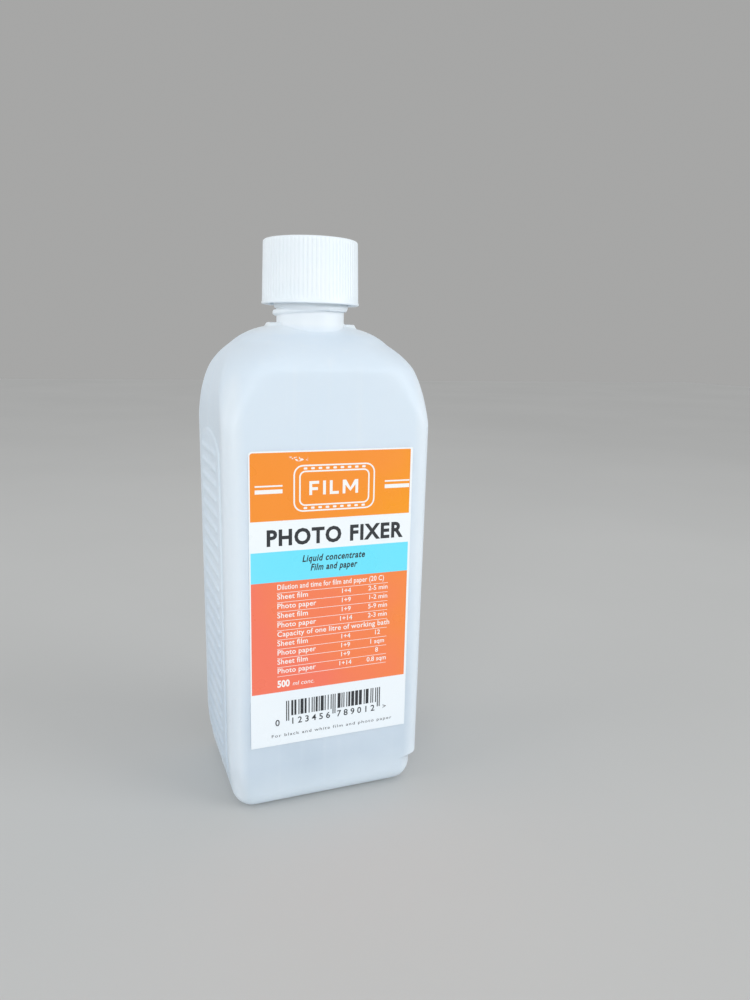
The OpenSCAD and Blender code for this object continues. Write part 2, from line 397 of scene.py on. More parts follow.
def thread_relief(angles, z, root, crest, foot_width, crest_width, start_z, turns, tail):
    """Height of a right-hand thread above its root, at each place on a turned surface."""
    height = np.zeros(np.broadcast(angles, z).shape)
    around = (angles - THREAD_ANGLE) % TURN / TURN
    for whole in range(int(turns) + 1):
        turn = whole + around
        centre = start_z + THREAD_LEAD * turn
        ends = clamp01(turn / 0.15) * clamp01((turns - turn) / 0.15)
        share = tail + (1 - tail) * clamp01(turn / 0.3 - 3)
        flank = clamp01((foot_width / 2 - np.abs(z - centre)) / (foot_width / 2 - crest_width / 2))
        height = np.maximum(height, abs(crest - root) * share * smooth(ends) * smooth(flank))
    return height


def bottle_relief(rows):
    """Everything that stands out from the plain outside: grips, thread, parting line, unevenness."""
    x, y, z = rows[..., 0], rows[..., 1], rows[..., 2]
    angles = np.arctan2(y, x) % TURN
    on_side = (np.abs(y) < 21) & (np.abs(x) > 30) & (z > PAD_BOTTOM - 2) & (z < SHOULDER_START)
    relief = np.where(on_side, grip_relief(y, z), 0)
    thread = thread_relief(angles, z, FINISH_RADIUS, THREAD_RADIUS, THREAD_FOOT, THREAD_CREST,
                           THREAD_START, THREAD_TURNS, THREAD_TAIL)
    below_root = FINISH_RADIUS - np.hypot(x, y)
    relief += np.where(z > LUG_TOP + 0.7, thread + below_root * smooth(thread / 0.3), 0)
    parting = 0.09 * np.exp(-(y / 0.2) ** 2)
    relief += np.where((z > 1) & (z < RIM_Z - 1), parting, 0)
    on_back = (y > BODY_DEPTH / 2 - 1.5) & (z > 14) & (z < FACE_START)
    sink = smooth((29 - np.abs(x)) / 20) * smooth((z - 14) / 30) * smooth((FACE_START - z) / 30)
    return relief - np.where(on_back, 0.3 * sink, 0)


def bottle_rows():
    """Rows of the whole bottle: out along the underside, up the outside, over the rim, down the
    inside and in along the floor."""
    angles = body_angles()
    base, wall, shoulder = base_rows(angles), wall_rows(angles), shoulder_rows(angles)
    neck = neck_rows(angles, shoulder[-1][:, 2])
    outside = np.concatenate([base, wall, shoulder, neck])
    normals = outward(outside)
    relief = bottle_relief(outside)
    relief[:len(base)] = 0
    raised = outside + normals * relief[..., None]

    bore = np.array([ring(MOUTH_RADIUS, z, angles) for z in np.linspace(RIM_Z - 1.5, LUG_TOP + 1.5, 10)])
    kept = np.concatenate([np.arange(1, len(base), 3), np.arange(len(base), len(base) + 9),
                           np.arange(len(base) + 9, len(base) + len(wall), 14),
                           np.arange(len(base) + len(wall), len(base) + len(wall) + len(shoulder), 2)])
    thickness = WALL + (FLOOR - WALL) * smooth((HEEL_RADIUS - outside[kept][..., 2]) / HEEL_RADIUS)
    inside = outside[kept] - normals[kept] * thickness[..., None]
    flat_floor = kept < len(base)
    inside[flat_floor, :, 2] = FLOOR
    near_neck = np.hypot(inside[..., 0], inside[..., 1])
    shrink = np.maximum(1, MOUTH_RADIUS / np.maximum(near_neck, 1e-6))
    shrink = np.where(inside[..., 2] > 150, shrink, 1)
    inside[..., 0] *= shrink
    inside[..., 1] *= shrink
    rim = rim_rows(angles)
    return np.concatenate([raised, rim, bore, inside[::-1]])


# ---------------------------------------------------------------- shader helpers

class Shader:
    """A material with a Principled shader, and short calls for the nodes that feed it."""

    def __init__(self, name, **sockets):
        self.material = bpy.data.materials.new(name)
        self.material.use_nodes = True
        self.tree = self.material.node_tree
        self.bsdf = self.tree.nodes["Principled BSDF"]
        for socket, value in sockets.items():
            self.bsdf.inputs[socket.replace("_", " ")].default_value = value
        coordinates = self.tree.nodes.new("ShaderNodeTexCoord")
        self.place = coordinates.outputs["Object"]

    def add(self, kind, inputs=(), **settings):
        node = self.tree.nodes.new(kind)
        for name, value in settings.items():
            setattr(node, name, value)
        for name, value in dict(inputs).items():
            if isinstance(value, bpy.types.NodeSocket):
                self.tree.links.new(value, node.inputs[name])
            else:
                node.inputs[name].default_value = value
        return node

    def math(self, operation, a, b=0.0, c=0.0):
        return self.add("ShaderNodeMath", {0: a, 1: b, 2: c}, operation=operation).outputs[0]

    def ramp(self, value, low, high, to_low=0.0, to_high=1.0):
        return self.add("ShaderNodeMapRange", {"Value": value, "From Min": low, "From Max": high,
                                               "To Min": to_low, "To Max": to_high}).outputs["Result"]

    def stretch(self, x, y, z):
        node = self.add("ShaderNodeVectorMath", {0: self.place, 1: (x, y, z)}, operation="MULTIPLY")
        return node.outputs[0]

    def noise(self, scale, detail=3.0, roughness=0.5, place=None):
        return self.add("ShaderNodeTexNoise", {"Vector": place or self.place, "Scale": scale,
                                               "Detail": detail, "Roughness": roughness}).outputs["Fac"]

    def mix(self, share, a, b, blend="MIX"):
        node = self.tree.nodes.new("ShaderNodeMix")
        node.data_type = "RGBA"
        node.blend_type = blend
        for socket, value in zip((node.inputs["Factor"], node.inputs[6], node.inputs[7]), (share, a, b)):
            if isinstance(value, bpy.types.NodeSocket):
                self.tree.links.new(value, socket)
            else:
                socket.default_value = value if isinstance(value, float) else (*value[:3], 1.0)
        return node.outputs[2]

    def attribute(self, name):
        return self.add("ShaderNodeAttribute", attribute_name=name).outputs["Fac"]

    def bump(self, height, distance, strength=1.0, normal=None):
        inputs = {"Height": height, "Distance": distance, "Strength": strength}
        if normal is not None:
            inputs["Normal"] = normal
        return self.add("ShaderNodeBump", inputs).outputs["Normal"]

    def set(self, **links):
        for socket, value in links.items():
            self.tree.links.new(value, self.bsdf.inputs[socket.replace("_", " ")])
        return self.material


def bottle_plastic():
    """Natural polyethylene: milky, faintly blue, satin. Its neck is whiter, partly from its thick wall
    and partly as painted light, and painted shade darkens its lower body, with painted highlights on the
    heel and the upright edges.
    """
    s = Shader("bottle_plastic", IOR=1.5, Subsurface_Weight=0.5, Subsurface_Scale=0.0025,
               Subsurface_Radius=(1.0, 1.0, 1.0), Specular_IOR_Level=0.4)
    cloud = s.noise(38, 3)
    streak = s.noise(1.0, 2, place=s.stretch(260, 260, 9))
    parts = s.add("ShaderNodeSeparateXYZ", {0: s.place}).outputs
    height = s.math("ADD", parts[2], s.math("MULTIPLY", cloud, 0.02))
    # painted shade: the body's colour darkens towards the bottom
    milk = s.mix(s.ramp(height, 0.012, 0.095), (0.52, 0.615, 0.71), (0.72, 0.83, 0.965))
    # painted highlight: a lighter band along the rounded heel
    milk = s.mix(s.ramp(parts[2], 0.003, 0.016, 0.8, 0.0), milk, (0.72, 0.81, 0.89))
    # painted highlight on the rounded upright edges of the body
    painted_edge_highlight = s.math("MULTIPLY", s.ramp(s.math("ABSOLUTE", parts[0]), 0.0285, 0.0315),
                       s.ramp(s.math("ABSOLUTE", parts[1]), 0.019, 0.024))
    milk = s.mix(s.math("MULTIPLY", painted_edge_highlight, 0.5), milk, (0.83, 0.90, 0.975))
    milk = s.mix(s.ramp(cloud, 0.35, 0.65, 0.0, 0.2), milk, (0.77, 0.85, 0.945))
    milk = s.mix(s.ramp(streak, 0.55, 0.8, 0.0, 0.12), milk, (0.88, 0.92, 0.96))
    # whiter neck: partly the thicker wall, partly painted light that lifts the shade under the cap
    milk = s.mix(s.ramp(parts[2], 0.1615, 0.1655, 0.0, 0.9), milk, (0.90, 0.955, 0.99))
    scuff = s.ramp(s.noise(140, 5, 0.7, place=s.stretch(1, 1, 3)), 0.66, 0.74, 0.0, 0.2)
    milk = s.mix(scuff, milk, (0.88, 0.91, 0.95))
    rough = s.math("ADD", s.ramp(cloud, 0.3, 0.7, 0.38, 0.48), s.math("MULTIPLY", scuff, 0.3))
    grain = s.bump(s.noise(900, 2), 0.00002, 0.3)
    wave = s.bump(s.noise(22, 1, place=s.stretch(1, 1, 0.6)), 0.0006, 0.3, grain)
    return s.set(Base_Color=milk, Roughness=rough, Normal=wave)


def cap_plastic():
    """White polypropylene, glossier than the bottle, with painted shade making it a little grey between
    the ribs.
    """
    s = Shader("cap_plastic", IOR=1.5, Subsurface_Weight=0.3, Subsurface_Scale=0.0015,
               Subsurface_Radius=(1.0, 1.0, 1.0))
    soft = s.noise(60, 3)
    white = s.mix(s.ramp(soft, 0.35, 0.65), (0.85, 0.925, 0.985), (0.88, 0.94, 0.99))
    # painted shade: greyer in the grooves between the ribs
    white = s.mix(s.ramp(s.attribute("painted_groove_shade"), 0.4, 1.0, 0.0, 0.08), white, (0.76, 0.81, 0.86))
    rubbed = s.ramp(s.noise(420, 4, 0.65), 0.60, 0.72, 0.0, 0.2)
    rough = s.math("ADD", s.ramp(soft, 0.3, 0.7, 0.30, 0.38), rubbed)
    grain = s.bump(s.noise(1300, 2), 0.00002, 0.3)
    return s.set(Base_Color=white, Roughness=rough, Normal=grain)


def liner_foam():
    """Closed-cell foam of the sealing disc, with fine cells and a matt face."""
    s = Shader("liner_foam", IOR=1.45, Roughness=0.85, Subsurface_Weight=0.2, Subsurface_Scale=0.001)
    cells = s.add("ShaderNodeTexVoronoi", {"Vector": s.place, "Scale": 2600.0}).outputs["Distance"]
    shade = s.mix(s.ramp(cells, 0.1, 0.7), (0.80, 0.80, 0.77), (0.90, 0.90, 0.87))
    return s.set(Base_Color=shade, Normal=s.bump(cells, 0.00006, 0.8))


INK_ROUGHNESS = 0.3


def print_ink(name, colour, second, shift, scuff_at=None):
    """A flat printed colour that drifts to a second one down and to the left, with fine print grain."""
    s = Shader(name, IOR=1.5, Coat_Weight=0.25, Coat_Roughness=0.12)
    parts = s.add("ShaderNodeSeparateXYZ", {0: s.place}).outputs
    middle_x, middle_z = (label_low + label_high)[[0, 2]] / 2 * MM
    across = s.math("SUBTRACT", parts[0], float(middle_x))
    down = s.math("SUBTRACT", parts[2], float(middle_z))
    drift = s.math("ADD", s.math("MULTIPLY", across, -shift[0]), s.math("MULTIPLY", down, -shift[1]))
    drift = s.math("ADD", drift, s.ramp(s.noise(45, 2), 0.3, 0.7, -0.2, 0.2))
    tone = s.mix(s.ramp(drift, -0.5, 0.5), colour, second)
    grain = s.noise(2600, 2, 0.6)
    tone = s.mix(s.ramp(grain, 0.3, 0.7, 0.0, 0.10), tone, tuple(0.82 * c for c in colour))
    if scuff_at is not None:
        x, z, half_x, half_z = (v * MM for v in scuff_at)
        off_x = s.math("ABSOLUTE", s.math("DIVIDE", s.math("SUBTRACT", parts[0], x), half_x))
        off_z = s.math("ABSOLUTE", s.math("DIVIDE", s.math("SUBTRACT", parts[2], z), half_z))
        near = s.ramp(s.math("MAXIMUM", off_x, off_z), 0.7, 1.0, 1.0, 0.0)
        torn = s.ramp(s.noise(1.0, 4, 0.6, place=s.stretch(900, 900, 1500)), 0.50, 0.56)
        tone = s.mix(s.math("MULTIPLY", near, torn), tone, (0.95, 0.93, 0.91))
    fleck = s.ramp(s.noise(520, 5, 0.7), 0.74, 0.78, 0.0, 0.5)
    tone = s.mix(fleck, tone, (0.93, 0.90, 0.86))
    rough = s.ramp(s.noise(90, 3), 0.3, 0.7, INK_ROUGHNESS - 0.05, INK_ROUGHNESS + 0.08)
    return s.set(Base_Color=tone, Roughness=rough, Normal=s.bump(grain, 0.00001, 0.3))


ROOM_LIGHT = 0.62
FLOOR_TONE = 0.62


def floor_paint():
    """Matt pale paint."""
    s = Shader("floor_paint", Roughness=0.9, Specular_IOR_Level=0.1)
    low, high = 0.98 * FLOOR_TONE, 1.02 * FLOOR_TONE
    tone = s.mix(s.ramp(s.noise(3, 4), 0.3, 0.7), (low, low, 0.98 * low), (high, high, 0.98 * high))
    return s.set(Base_Color=tone)


# ---------------------------------------------------------------- bottle

def make_bottle(material):
    return make_object("bottle_shell", *skin(bottle_rows()), material)


# ---------------------------------------------------------------- cap

def turned(name, profile, around, material, relief=None):
    """A turned solid from rows of (radius, height), each shifted outward by relief(row, angle)."""
    angles = np.arange(around) * TURN / around
    rows = np.array([ring(r, z, angles) for r, z in profile])
    marks = np.zeros(rows.shape[:2])
    if relief is not None:
        rows, marks = relief(rows, angles)
    points, faces = skin(rows)
    piece = make_object(name, points, faces, material)
    # the depth of the grooves, for the painted shade between the cap's ribs
    add_attribute(piece, "painted_groove_shade", np.concatenate([[0.0], marks.ravel(), [0.0]]))
    return piece


def arc(centre_r, centre_z, radius, start, end, steps):
    """Points round part of a circle, in degrees from the outward direction."""
    angles = [math.radians(t) for t in np.linspace(start, end, steps + 1)]
    return [(centre_r + radius * math.cos(t), centre_z + radius * math.sin(t)) for t in angles]


def tooth_share(angles, phase):
    """1 on a tooth and 0 between teeth, for a ring of teeth."""
    step = TURN / TOOTH_COUNT
    off = np.abs((angles - phase + step / 2) % step - step / 2)
    return smooth((math.radians(6.3) - off) / math.radians(0.8))


def make_cap_shell(material):
    """The outer cap: a ribbed skirt with a lip, a shallow panel on top and teeth underneath."""
    top, bottom = shell_high[2], shell_low[2]
    rounding = CAP_ROUNDING
    top_radius = CAP_RADIUS - CAP_DRAFT
    lip_top = bottom + 0.9
    side_top = top - rounding
    profile = [(0.6, top - 0.1)] + [(r, top - CAP_PANEL_DEPTH) for r in (1.0, 3, 6, 9, 11.4)]
    profile += [(11.9, top - 0.3), (12.3, top - 0.06), (12.7, top), (13.8, top)]
    profile += arc(top_radius - rounding, side_top, rounding, 90, 0, 8)
    for z in np.linspace(side_top, lip_top + 0.5, 14)[1:]:
        profile.append((top_radius + CAP_DRAFT * (side_top - z) / (side_top - bottom), z))
    profile += [(CAP_RADIUS, lip_top + 0.25), (CAP_RADIUS + 0.02, lip_top + 0.12)]
    profile += arc(CAP_RADIUS + CAP_LIP - 0.3, lip_top - 0.25, 0.3, 60, 0, 3)
    profile += arc(CAP_RADIUS + CAP_LIP - 0.25, bottom + 0.25, 0.25, 0, -90, 3)
    lip_inside = inner_high[0] - 0.35
    profile += [(lip_inside + 0.5, bottom), (lip_inside + 0.15, bottom + 0.1), (lip_inside, bottom + 0.3),
                (lip_inside, bottom + 0.75), (SHELL_BORE - 0.1, bottom + 0.85)]
    profile += [(SHELL_BORE, z) for z in np.linspace(bottom + 1.1, SHELL_UNDERSIDE - 0.3, 8)]
    profile += [(SHELL_BORE - 0.3, SHELL_UNDERSIDE), (12.4, SHELL_UNDERSIDE), (12.05, SHELL_UNDERSIDE)]
    tooth_start = len(profile)
    profile += [(r, SHELL_UNDERSIDE) for r in (11.95, 11.0, 10.0, 9.0, 8.0, 7.6)]
    tooth_end = len(profile)
    profile += [(7.5, SHELL_UNDERSIDE), (5, SHELL_UNDERSIDE), (2, SHELL_UNDERSIDE)]

    def relief(rows, angles):
        radius, z = np.hypot(rows[..., 0], rows[..., 1]), rows[..., 2]
        wave = 0.5 - 0.5 * np.cos(CAP_RIBS * angles)
        valley = np.broadcast_to(1 - smooth(wave / 0.62), rows.shape[:2])
        side = radius > top_radius - rounding
        share = smooth((z - lip_top - 0.2) / 0.6) * smooth((top - 0.15 - z) / (rounding * 0.9))
        depth = np.where(side, CAP_RIB_DEPTH * valley * share, 0)
        shrink = 1 - depth / np.maximum(radius, 1)
        rows = rows.copy()
        rows[..., 0] *= shrink
        rows[..., 1] *= shrink
        teeth = tooth_share(angles, math.pi / TOOTH_COUNT)
        rows[tooth_start:tooth_end, :, 2] -= TOOTH_HEIGHT * teeth
        # the groove depth goes back for the painted shade between the ribs
        return rows, depth / CAP_RIB_DEPTH

    return turned("cap_outer_shell", profile, CAP_RIBS * 10, material, relief)


def make_inner_cap(material):
    """The threaded inner cap, with a ring of teeth on top."""
    low, high, outer = inner_low[2], inner_high[2] - TOOTH_HEIGHT, inner_high[0]
    under = liner_high[2]
    profile = [(2, high), (5, high), (7.4, high)]
    tooth_start = len(profile)
    profile += [(r, high) for r in (7.5, 8.5, 9.5, 10.5, 11.5, 12.0)]
    tooth_end = len(profile)
    profile += [(12.1, high), (13.4, high)]
    profile += arc(outer - 0.5, high - 0.5, 0.5, 90, 0, 4)
    profile += [(outer, z) for z in np.linspace(high - 2, low + 1.2, 5)]
    profile += arc(outer - 0.3, low + 0.3, 0.3, 0, -90, 3)
    profile += arc(INNER_BORE + 0.3, low + 0.3, 0.3, -90, -180, 3)
    bore_start = len(profile)
    profile += [(INNER_BORE, z) for z in np.linspace(low + 0.5, 183, 36)]
    bore_end = len(profile)
    profile += [(INNER_BORE, under - 0.3), (INNER_BORE - 0.3, under), (9, under), (4, under)]

    def relief(rows, angles):
        rows = rows.copy()
        rows[tooth_start:tooth_end, :, 2] += TOOTH_HEIGHT * tooth_share(angles, 0)
        bore = rows[bore_start:bore_end]
        height = thread_relief(angles[None, :], bore[..., 2], INNER_BORE, INNER_BORE - CAP_THREAD_HEIGHT,
                               CAP_THREAD_FOOT, CAP_THREAD_CREST,
                               THREAD_START + 1.5 * THREAD_LEAD, CAP_THREAD_TURNS, 1.0)
        shrink = 1 - height / INNER_BORE
        bore[..., 0] *= shrink
        bore[..., 1] *= shrink
        return rows, np.zeros(rows.shape[:2])

    return turned("cap_inner_part", profile, 480, material, relief)


def make_liner(material):
    """The sealing disc, with the mark of the rim pressed into its underside."""
    low, high, radius = liner_low[2], liner_high[2], liner_high[0]
    pressed = 0.12
    profile = [(3, low), (8, low), (MOUTH_RADIUS - 0.3, low)]
    profile += [(MOUTH_RADIUS + 0.2, low + pressed), (FINISH_RADIUS - 0.4, low + pressed),
                (FINISH_RADIUS, low + 0.02)]
    profile += arc(radius - 0.2, low + 0.2, 0.2, -90, 0, 3)
    profile += arc(radius - 0.2, high - 0.2, 0.2, 0, 90, 3)
    profile += [(9, high), (4, high)]
    profile = profile[::-1]
    return turned("cap_sealing_disc", profile, 144, material)


# ---------------------------------------------------------------- label

LABEL_FRONT = label_low[1]
INK = 0.012
LEFT_BORDER = 0.45
RIGHT_BORDER = 0.8
TOP_BORDER = 0.5
HEADER_END = 0.223
TITLE_END = 0.324
BAND_END = 0.4255
TABLE_END = 0.808
CAPITAL = 0.682
LABEL_X = (label_low[0] + label_high[0]) / 2
LABEL_H = label_high[2] - label_low[2]


def down(share):
    """Height of the place that is this share of the label's height below its top."""
    return label_high[2] - share * LABEL_H


def rounded_box(x0, x1, z0, z1, radii, steps=6):
    """Outline of a box with its own radius at each corner, anticlockwise from the lower left."""
    corners = [(x0, z0, 180), (x1, z0, 270), (x1, z1, 0), (x0, z1, 90)]
    points = []
    for (x, z, start), radius in zip(corners, radii):
        cx = x + radius if x == x0 else x - radius
        cz = z + radius if z == z0 else z - radius
        for t in (np.linspace(start, start + 90, steps + 1) if radius > 0 else [start]):
            angle = math.radians(t)
            points.append((cx + radius * math.cos(angle), cz + radius * math.sin(angle)))
    return points


class Printing:
    """Thin solids on the face of the label, gathered into one piece."""

    def __init__(self, name, material, layer):
        self.name, self.material = name, material
        self.back = LABEL_FRONT - INK * (layer - 1)
        self.front = LABEL_FRONT - INK * layer
        self.points, self.faces = [], []

    def fill(self, outline):
        start, n = len(self.points), len(outline)
        for y in (self.front, self.back):
            self.points += [(x, y, z) for x, z in outline]
        self.faces.append(tuple(start + i for i in range(n)))
        self.faces.append(tuple(start + n + i for i in range(n - 1, -1, -1)))
        for i in range(n):
            j = (i + 1) % n
            self.faces.append((start + i, start + n + i, start + n + j, start + j))

    def band(self, outer, inner):
        """The strip between two outlines that have the same number of points."""
        start, n = len(self.points), len(outer)
        for y in (self.front, self.back):
            for outline in (outer, inner):
                self.points += [(x, y, z) for x, z in outline]
        for i in range(n):
            j = (i + 1) % n
            a, b, c, d = start, start + n, start + 2 * n, start + 3 * n
            self.faces += [(a + i, a + j, b + j, b + i), (c + i, d + i, d + j, c + j),
                           (a + i, c + i, c + j, a + j), (b + i, b + j, d + j, d + i)]

    def bar(self, x0, x1, z0, z1):
        self.fill([(x0, z0), (x1, z0), (x1, z1), (x0, z1)])

    def write(self, text, x, z, tall, align="LEFT", bold=0.0, slant=0.0, width=None, spacing=1.0):
        """Lettering with its baseline at z and capitals this tall, stretched to any width given."""
        curve = bpy.data.curves.new("lettering", "FONT")
        curve.body, curve.size, curve.align_x = text, tall / CAPITAL, align
        curve.offset, curve.shear, curve.space_character = bold, slant, spacing
        curve.resolution_u = 3
        curve.extrude = INK / 2
        writing = bpy.data.objects.new("lettering", curve)
        bpy.context.scene.collection.objects.link(writing)
        bpy.context.view_layer.update()
        solid = writing.evaluated_get(bpy.context.evaluated_depsgraph_get())
        mesh = bpy.data.meshes.new_from_object(solid)
        local = np.array([v.co for v in mesh.vertices])
        if width is not None:
            local[:, 0] *= width / (local[:, 0].max() - local[:, 0].min())
        start = len(self.points)
        self.points += [(x + px, self.front + INK / 2 - pz, z + py) for px, py, pz in local]
        self.faces += [tuple(start + i for i in p.vertices) for p in mesh.polygons]
        bpy.data.objects.remove(writing)
        bpy.data.curves.remove(curve)
        bpy.data.meshes.remove(mesh)

    def finish(self):
        return make_object(self.name, self.points, self.faces, self.material, smooth_shading=False)


def make_label_film(material):
    """The white film of the label, which carries the print."""
    outline = rounded_box(label_low[0], label_high[0], label_low[2], label_high[2],
                          [0.2, 0.2, 0.3, 1.3])
    film = Printing("label_film", material, 0)
    film.front, film.back = LABEL_FRONT, label_high[1]
    film.fill(outline)
    return film.finish()


def make_label_colours(header_ink, band_ink, table_ink):
    """The three printed fields of the label."""
    left, right = label_low[0] + LEFT_BORDER, label_high[0] - RIGHT_BORDER
    pieces = []
    for name, ink, top, bottom, radii in (
            ("label_header_print", header_ink, TOP_BORDER / LABEL_H, HEADER_END, [0, 0, 0.2, 0.9]),
            ("label_band_print", band_ink, TITLE_END, BAND_END, [0] * 4),
            ("label_table_print", table_ink, BAND_END, TABLE_END, [0] * 4)):
        colour = Printing(name, ink, 1)
        colour.fill(rounded_box(left, right, down(bottom), down(top), radii))
        pieces.append(colour.finish())
    return pieces


def draw_badge(ink):
    """A generic badge: a film frame with perforations round a word."""
    x, z = LABEL_X + 0.5, down(0.1222)
    width, height, line = 28.0, 15.4, 0.5
    for inset in (0.0, 1.9):
        half_w, half_h, radius = width / 2 - inset, height / 2 - inset, 3.2 - inset * 0.6
        ink.band(rounded_box(x - half_w, x + half_w, z - half_h, z + half_h, [radius] * 4),
                 rounded_box(x - half_w + line, x + half_w - line, z - half_h + line, z + half_h - line,
                             [radius - line] * 4))
    holes, hole_w, hole_h = 9, 1.2, 0.7
    for k in range(holes):
        cx = x + (k - (holes - 1) / 2) * 2.5
        for side in (-1, 1):
            cz = z + side * (height / 2 - line - 0.7)
            ink.fill(rounded_box(cx - hole_w / 2, cx + hole_w / 2,
                                 cz - hole_h / 2, cz + hole_h / 2, [0.2] * 4, 2))
    draw_film_word(ink, x - 8.7, z - 2.3, 4.6, 0.95)


def draw_film_word(ink, x, z, tall, stroke):
    """The word of the badge, in plain bold capitals made of bars."""
    gap = 1.35
    top, middle = z + tall, z + 0.55 * tall
    ink.bar(x, x + stroke, z, top)
    ink.bar(x + stroke, x + 3.3, top - stroke, top)
    ink.bar(x + stroke, x + 2.9, middle - stroke, middle)
    x += 3.3 + gap
    ink.bar(x, x + stroke, z, top)
    x += stroke + gap
    ink.bar(x, x + stroke, z, top)
    ink.bar(x + stroke, x + 3.1, z, z + stroke)
    x += 3.1 + gap
    wide, foot, notch = 5.4, z + 0.16 * tall, z + 0.42 * tall
    centre, shoulder = x + wide / 2, 1.25 * stroke
    arm = z + 0.62 * tall
    ink.fill([(x, z), (x + stroke, z), (x + stroke, arm), (centre, foot), (x + wide - stroke, arm),
              (x + wide - stroke, z), (x + wide, z), (x + wide, top), (x + wide - shoulder, top),
              (centre, notch), (x + shoulder, top), (x, top)])


def draw_header_bars(ink):
    """A thin bar over a thick one, on each side of the badge."""
    left, right = label_low[0], label_high[0]
    for x0, x1 in ((left + 2.0, left + 11.0), (right - 10.0, right - 1.0)):
        ink.bar(x0, x1, down(0.1128), down(0.1078))
        ink.bar(x0, x1, down(0.1345), down(0.1215))


def draw_table(ink):
    """Dilution, time and capacity in three columns, with a thin rule under each row."""
    rows = [("Dilution and time for film and paper (20 C)", "", ""),
            ("Sheet film", "1+4", "2-5 min"), ("Photo paper", "1+9", "1-2 min"),
            ("Sheet film", "1+9", "5-9 min"), ("Photo paper", "1+14", "2-3 min"),
            ("Capacity of one litre of working bath", "", ""),
            ("Sheet film", "1+4", "12"), ("Photo paper", "1+9", "1 sqm"),
            ("Sheet film", "1+9", "8"), ("Photo paper", "1+14", "0.8 sqm")]
    left, right = LABEL_X - 19.05, LABEL_X + 20.2
    first, pitch, tall = 0.452, 0.0322, 1.75
    for k, (name, share, value) in enumerate(rows):
        z = down(first + k * pitch)
        ink.write(name, left, z, tall, bold=0.025, spacing=1.04, width=37.6 if k == 0 else None)
        if share:
            ink.write(share, LABEL_X + 4.9, z, 1.6, "CENTER", bold=0.02)
            ink.write(value, LABEL_X + 16.6, z, 1.6, "CENTER", bold=0.02)
        ink.bar(left, right, z - 1.2, z - 1.06)
    z = down(0.7907)
    ink.write("500", left, z, 2.3, bold=0.12, width=4.3)
    ink.write("ml conc.", left + 5.2, z, 1.5, slant=0.2, width=7.6)


def draw_title(ink):
    ink.write("PHOTO FIXER", LABEL_X + 1.1, down(0.3034), 5.0, "CENTER",
              bold=0.26, width=47.6, spacing=1.12)


def draw_band_text(ink):
    for text, share, width in (("Liquid concentrate", 0.3645, 22.0), ("Film and paper", 0.3958, 16.5)):
        ink.write(text, LABEL_X + 0.4, down(share), 2.15, "CENTER",
                  bold=0.085, slant=0.25, width=width, spacing=1.12)


def draw_barcode(ink):
    """A pattern of bars that stands for no real number, with plain counting digits under it."""
    draw = random.Random(7)
    modules = 95
    left, module = LABEL_X - 16.0, 34.3 / modules
    top, bottom, long_bottom = down(0.8435), down(0.8985), down(0.916)
    guards = {0, 2, 46, 48, 92, 94}
    k = 0
    while k < modules:
        if k in guards:
            ink.bar(left + k * module, left + (k + 1) * module, long_bottom, top)
            k += 2 if k + 2 in guards else 3
            continue
        wide = min(draw.choice((1, 1, 2, 2, 3)), modules - k)
        if not any(k + i in guards for i in range(wide + 1)):
            ink.bar(left + k * module, left + (k + wide) * module, bottom, top)
            k += wide + draw.choice((1, 1, 2))
        else:
            k += 1
        k = min([g for g in guards if k - 3 < g <= k] or [k])
    z, tall = down(0.9295), 2.2
    ink.write("0", left - 3.0, z, tall, "CENTER", bold=0.04)
    for start, digits in ((3, "123456"), (49, "789012")):
        for i, digit in enumerate(digits):
            ink.write(digit, left + (start + 3.5 + i * 7) * module, z, tall, "CENTER", bold=0.04)
    ink.write(">", left + 36.0, z + 0.2, 1.8, "CENTER")
    ink.write("For black and white film and photo paper", LABEL_X + 0.9, down(0.9705), 1.05, "CENTER",
              width=44.0, spacing=1.2)


# ---------------------------------------------------------------- stage

CAMERA_PLACE = (-75.4, -258.0, 159.05)
CAMERA_TURN = math.radians(21.378)
CAMERA_PITCH = math.radians(11.615)
CAMERA_ROLL = math.radians(1.322)
CAMERA_LENS = 27.135
LAMP_COLOUR = (0.94, 0.975, 1.0)
LAMP_SPREAD = math.radians(70)


def aim_camera():
    """The camera stands a quarter of a metre in front, to the left, and looks slightly down."""
    place = Vector(CAMERA_PLACE) * MM
    turn, pitch, roll = CAMERA_TURN, CAMERA_PITCH, CAMERA_ROLL
    ahead = Vector((math.sin(turn) * math.cos(pitch), math.cos(turn) * math.cos(pitch),
                    -math.sin(pitch)))
    level_right = Vector((math.cos(turn), -math.sin(turn), 0))
    level_up = level_right.cross(ahead)
    right = level_right * math.cos(roll) + level_up * math.sin(roll)
    up = level_up * math.cos(roll) - level_right * math.sin(roll)
    camera = bpy.data.objects.new("camera", bpy.data.cameras.new("camera"))
    camera.data.sensor_width = 36
    camera.data.lens = CAMERA_LENS
    camera.data.clip_start = 0.01
    camera.matrix_world = Matrix((right, up, -ahead)).transposed().to_4x4()
    camera.location = place
    bpy.context.scene.collection.objects.link(camera)
    bpy.context.scene.camera = camera


def add_light(name, place, size, power):
    """A square soft light with a grid, which looks at the middle of the bottle."""
    data = bpy.data.lights.new(name, "AREA")
    data.shape, data.size, data.energy, data.color = "SQUARE", size, power, LAMP_COLOUR
    data.spread = LAMP_SPREAD
    lamp = bpy.data.objects.new(name, data)
    lamp.location = place
    lamp.rotation_mode = "QUATERNION"
    lamp.rotation_quaternion = (Vector((0, 0, 0.1)) - Vector(place)).to_track_quat("-Z", "Y")
    bpy.context.scene.collection.objects.link(lamp)


